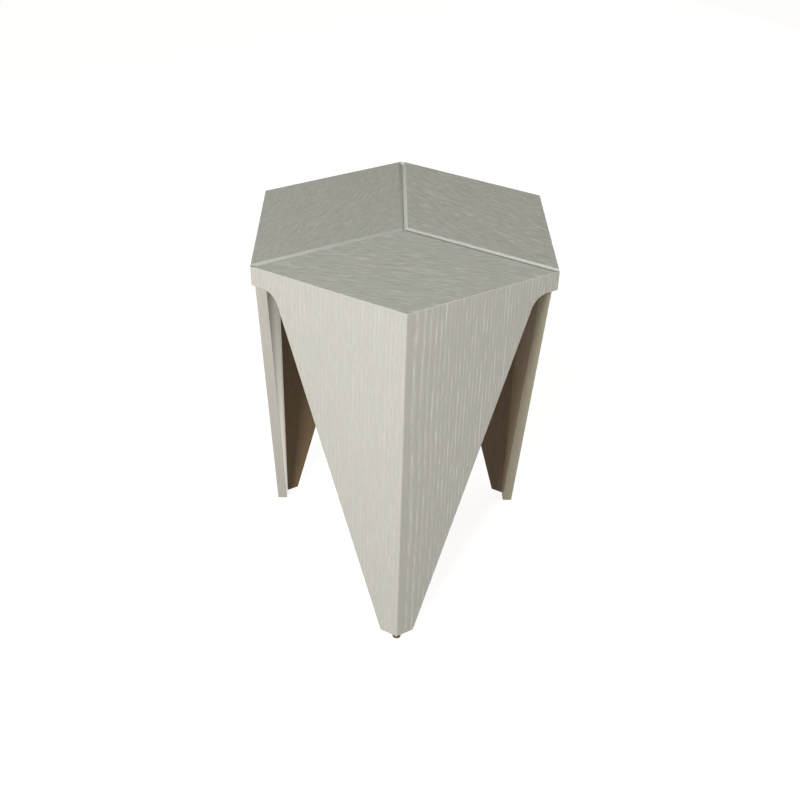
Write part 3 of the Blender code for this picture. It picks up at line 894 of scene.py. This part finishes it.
zinc = zinc_finish("zinc_plate")
screw_tree, screw_sockets = screw_pattern()
screws = new_object("plate_screws", wood_screw(), 0, [zinc])
pattern = screws.modifiers.new("screw_pattern", "NODES")
pattern.node_group = screw_tree
for name, value in screw_sizes.items():
    pattern[screw_sockets[name].identifier] = value
pattern[screw_sockets["Seed"].identifier] = screw_seed
pattern[screw_sockets["Finish"].identifier] = zinc
all_screws = evaluated_mesh(screws)
screws.modifiers.remove(pattern)
screws.data = all_screws
screw_nodes = []
for module in module_turns:
    for number in range(1, screws_per_top + 1):
        screw_nodes.append("plate_screw_" + module + "_" + str(number))
declare(screws, "frame", "zinc_steel", *screw_nodes)

# Threaded inserts
# Brass bushes pressed up into the feet, half in each side board, for the levellers' M5 threads. They
# are turned from bar, and only their lower ring shows.

brass_bright = (0.780, 0.600, 0.300)
brass_dull = (0.560, 0.400, 0.180)
brass_roughness = 0.30
tarnish_scale = 420.0
lathe_ring_size = (0.008, 0.00015)


def brass_finish(name):
    """Turned brass with fine rings from the lathe and some tarnish."""
    material, tree, shader, place = new_finish(name, brass_roughness, 1.0)
    tarnish = mottling(tree, place, tarnish_scale, 4.0)
    rings = drawn_noise(tree, place, lathe_ring_size).outputs["Fac"]
    shade = mapped(tree, tarnish, 0.38, 0.64)
    tarnished = mixed_colour(tree, shade, opaque(brass_bright), opaque(brass_dull))
    dullness = mapped(tree, tarnish, 0.3, 0.7, brass_roughness * 0.8, brass_roughness * 1.3)
    give_surface(tree, shader, tarnished, dullness, rings, strength=0.2, distance=0.00004)
    return material


insert_brass = brass_finish("turned_brass")
for module in module_turns:
    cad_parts["threaded_insert_" + module].material_slots[0].material = insert_brass

# Leveller studs
# M5 studs of zinc-plated steel, one to a foot. Each swivels in its pad on a round foot, and has a
# hexagon collar for an 8 mm spanner under the leg and a rolled thread that runs up into the insert.

stud_foot = (0.0029, 0.0015, 0.0027)
stud_foot_chamfer = 0.0003
stud_foot_ease = 0.0002
stud_neck = 0.0019
collar_across = 0.008
collar_heights = (0.0043, 0.0067)
collar_chamfer = 0.0004
thread_crest = 0.0025
thread_root = 0.0020
thread_pitch = 0.0008
thread_runout = 0.0003
end_chamfer = (0.0003, 0.0006)
stud_top = 0.022
rings_per_turn = 8
stud_sides = 36


def hexagon(limit):
    """Outline of the collar, cut back to this radius at its chamfers."""
    def radius(angle):
        from_flat = (angle % math.radians(60)) - math.radians(30)
        return min(collar_across / 2 / math.cos(from_flat), limit)
    return radius


def threaded_stud():
    """The stud, from the foot's underside up to its chamfered end."""
    foot_radius, foot_bottom, foot_top = stud_foot
    low, high = collar_heights
    corner = collar_across / math.sqrt(3)
    chamfered = corner - collar_chamfer
    section = [
        (0, foot_bottom),
        (foot_radius - stud_foot_chamfer, foot_bottom),
        (foot_radius, foot_bottom + stud_foot_chamfer),
        (foot_radius, foot_top - stud_foot_ease),
        (foot_radius - stud_foot_ease, foot_top),
        (stud_neck, foot_top),
        (stud_neck, low),
        (hexagon(collar_across / 2), low),
        (hexagon(chamfered), low + collar_chamfer / 2),
        (hexagon(corner), low + collar_chamfer),
        (hexagon(corner), high - collar_chamfer),
        (hexagon(chamfered), high - collar_chamfer / 2),
        (hexagon(collar_across / 2), high),
        (thread_root, high),
    ]
    chamfer_reach, chamfer_height = end_chamfer
    first = high + thread_runout
    last = stud_top - chamfer_height
    ring_count = round((last - first) / thread_pitch * rings_per_turn)
    for step in range(ring_count + 1):
        height = first + (last - first) * step / ring_count
        section.append((thread_radius(height, thread_crest, thread_root, thread_pitch), height))
    section.append((thread_root - chamfer_reach, stud_top))
    section.append((0, stud_top))
    return turned_skin(section, stud_sides)


for module, turn in module_turns.items():
    stud_shape = threaded_stud()
    bmesh.ops.translate(stud_shape, verts=stud_shape.verts, vec=(0, -leveller_reach, 0))
    stud = new_object("threaded_stud_" + module, stud_shape, turn, [zinc])
    declare(stud, "stud_" + module, "zinc_steel", "leveller_stud_" + module)

# Leveller pads
# Round feet turned from brass bar and browned, one under each leg. The lip holds the stud's foot, and
# the bottom of the rim is coloured lighter, partly as wear against the floor and partly as a painted
# highlight.

pad_radius = 0.00625
pad_height = 0.004
pad_floor = 0.0012
pad_round = 0.0008
pad_lip = 0.001
lip_round = 0.0003
lip_radius = 0.0022
socket_radius = 0.0032
pad_sides = 64
pad_bright = (0.190, 0.125, 0.070)
pad_dark = (0.060, 0.040, 0.025)
# Partly rim wear, partly a painted highlight.
pad_rubbed_and_highlight = (0.420, 0.290, 0.150)
pad_mottle_scale = 700.0
pad_ring_size = (0.008, 0.00020)


def quarter_round(centre, radius, first, last, steps=5):
    """Points of a round between two angles in degrees, as radius and height."""
    points = []
    for step in range(steps + 1):
        angle = math.radians(first + (last - first) * step / steps)
        points.append((centre[0] + radius * math.cos(angle), centre[1] + radius * math.sin(angle)))
    return points


def turned_pad():
    """The pad, from the middle of its underside round to the floor of its socket."""
    low_round = (pad_radius - pad_round, pad_round)
    high_round = (pad_radius - pad_round, pad_height - pad_round)
    rim_round = (lip_radius + lip_round, pad_height - lip_round)
    section = [(0, 0)]
    section += quarter_round(low_round, pad_round, -90, 0)
    section += quarter_round(high_round, pad_round, 0, 90)
    section += quarter_round(rim_round, lip_round, 90, 180, 3)
    section += [
        (lip_radius, pad_height - pad_lip),
        (socket_radius, pad_height - pad_lip),
        (socket_radius, pad_floor),
        (0, pad_floor),
    ]
    return turned_skin(section, pad_sides)


browned, pad_tree, pad_shader, pad_place = new_finish("browned_brass", 0.40, 1.0)
pad_mottle = mottling(pad_tree, pad_place, pad_mottle_scale, 4.0)
pad_rings = drawn_noise(pad_tree, pad_place, pad_ring_size).outputs["Fac"]
pad_shade = mapped(pad_tree, pad_mottle, 0.35, 0.65)
pad_colour = mixed_colour(pad_tree, pad_shade, opaque(pad_dark), opaque(pad_bright))
pad_level = shader_node(pad_tree, "ShaderNodeSeparateXYZ", {0: pad_place}).outputs["Z"]
# Lighter towards the floor: wear and a painted highlight.
pad_wear_and_highlight = mapped(pad_tree, pad_level, 0.0, pad_round, 0.7, 0.0)
worn_and_highlit_colour = mixed_colour(pad_tree, pad_wear_and_highlight, pad_colour, opaque(pad_rubbed_and_highlight))
pad_dullness = mapped(pad_tree, pad_shade, 0.0, 1.0, 0.50, 0.32)
give_surface(pad_tree, pad_shader, worn_and_highlit_colour, pad_dullness, pad_rings, strength=0.2, distance=0.00004)

for module, turn in module_turns.items():
    pad_shape = turned_pad()
    bmesh.ops.translate(pad_shape, verts=pad_shape.verts, vec=(0, -leveller_reach, 0))
    pad = new_object("turned_pad_" + module, pad_shape, turn, [browned])
    declare(pad, "pad_" + module, "antique_brass", "leveller_pad_" + module)

# Camera
# The table is seen from 35 degrees above and just left of its front leg, as in a catalogue picture.
# A roll of less than two degrees leans the picture a little.

camera_place = Vector((-0.0380, -1.4037, 1.2555))
camera_azimuth = math.radians(-1.594)
camera_tilt = math.radians(34.960)
camera_roll = math.radians(1.682)
camera_lens = 51.0
camera_sensor = 36.0

camera_data = bpy.data.cameras.new("catalogue_camera")
camera_data.lens = camera_lens
camera_data.sensor_width = camera_sensor
camera = bpy.data.objects.new("catalogue_camera", camera_data)
bpy.context.scene.collection.objects.link(camera)
backward = Vector((
    math.sin(camera_azimuth) * math.cos(camera_tilt),
    -math.cos(camera_azimuth) * math.cos(camera_tilt),
    math.sin(camera_tilt),
))
level_right = (-backward).cross(upward).normalized()
level_up = level_right.cross(-backward)
rolled_right = level_right * math.cos(camera_roll) + level_up * math.sin(camera_roll)
rolled_up = level_up * math.cos(camera_roll) - level_right * math.sin(camera_roll)
camera_turn = Matrix((rolled_right, rolled_up, backward)).transposed().to_4x4()
camera.matrix_world = Matrix.Translation(camera_place) @ camera_turn
bpy.context.scene.camera = camera

# Floor and light
# A pale studio floor, which the camera sees as white with the table's soft shadow on it, a high
# lamp at the front left, a wide one low at the back right, and an even sky.

floor_size = 24.0
floor_height = -0.0002
floor_glow = 0.87
shadow_paint = (0.34, 0.32, 0.29)
floor_colour = (0.17, 0.13, 0.09)
sky_colour = (0.29, 0.29, 0.29)
lamp_colour = (1.0, 0.99, 0.97)


def seen_directly(tree):
    """One for what is seen straight, in gloss or through glass, and nought for scattered light."""
    path = tree.nodes.new("ShaderNodeLightPath").outputs
    seen = maths(tree, "MAXIMUM", path["Is Camera Ray"], path["Is Glossy Ray"])
    return maths(tree, "MAXIMUM", seen, path["Is Transmission Ray"])


floor_shape = bmesh.new()
bmesh.ops.create_grid(floor_shape, x_segments=1, y_segments=1, size=floor_size / 2)
bmesh.ops.translate(floor_shape, verts=floor_shape.verts, vec=(0, 0, floor_height))
floor_mesh = bpy.data.meshes.new("studio_floor")
floor_shape.to_mesh(floor_mesh)
floor_shape.free()
floor = bpy.data.objects.new("studio_floor", floor_mesh)
bpy.context.scene.collection.objects.link(floor)
floor_finish = bpy.data.materials.new("studio_floor")
floor_finish.use_nodes = True
floor_tree = floor_finish.node_tree
floor_tree.nodes.clear()
seen = seen_directly(floor_tree)
glow_inputs = {"Color": (1, 1, 1, 1), "Strength": floor_glow}
white_glow = shader_node(floor_tree, "ShaderNodeEmission", glow_inputs)
pale_paint = shader_node(floor_tree, "ShaderNodeBsdfDiffuse", {"Color": opaque(shadow_paint)})
seen_floor = shader_node(
    floor_tree, "ShaderNodeAddShader", {0: white_glow.outputs[0], 1: pale_paint.outputs[0]}
)
lit_floor = shader_node(floor_tree, "ShaderNodeBsdfDiffuse", {"Color": opaque(floor_colour)})
above_floor = shader_node(
    floor_tree, "ShaderNodeMixShader", {0: seen, 1: lit_floor.outputs[0], 2: seen_floor.outputs[0]}
)
from_below = floor_tree.nodes.new("ShaderNodeNewGeometry").outputs["Backfacing"]
clear_floor = floor_tree.nodes.new("ShaderNodeBsdfTransparent")
floor_surface = shader_node(
    floor_tree, "ShaderNodeMixShader", {0: from_below, 1: above_floor.outputs[0], 2: clear_floor.outputs[0]}
)
floor_output = floor_tree.nodes.new("ShaderNodeOutputMaterial")
floor_tree.links.new(floor_surface.outputs[0], floor_output.inputs["Surface"])
floor_mesh.materials.append(floor_finish)

world = bpy.data.worlds.new("studio")
world.use_nodes = True
bpy.context.scene.world = world
sky_tree = world.node_tree
sky_tree.nodes.clear()
sky_tone = mixed_colour(sky_tree, seen_directly(sky_tree), opaque(sky_colour), (1, 1, 1, 1))
sky = shader_node(sky_tree, "ShaderNodeBackground", {"Color": sky_tone, "Strength": 1.0})
sky_output = sky_tree.nodes.new("ShaderNodeOutputWorld")
sky_tree.links.new(sky.outputs[0], sky_output.inputs["Surface"])


def add_lamp(name, place, aim, width, height, power):
    lamp_data = bpy.data.lights.new(name, "AREA")
    lamp_data.shape = "RECTANGLE"
    lamp_data.size = width
    lamp_data.size_y = height
    lamp_data.energy = power
    lamp_data.color = lamp_colour
    lamp = bpy.data.objects.new(name, lamp_data)
    bpy.context.scene.collection.objects.link(lamp)
    lamp.location = place
    lamp.rotation_euler = (Vector(aim) - Vector(place)).to_track_quat("-Z", "Y").to_euler()


add_lamp("window_lamp", (-1.11, -2.79, 1.59), (0, 0, 0.30), width=0.55, height=0.55, power=105.0)
add_lamp("back_lamp", (2.31, 1.80, 0.20), (-0.10, 0, 0.22), width=1.90, height=0.36, power=100.0)

bpy.context.scene.view_settings.view_transform = "Standard"
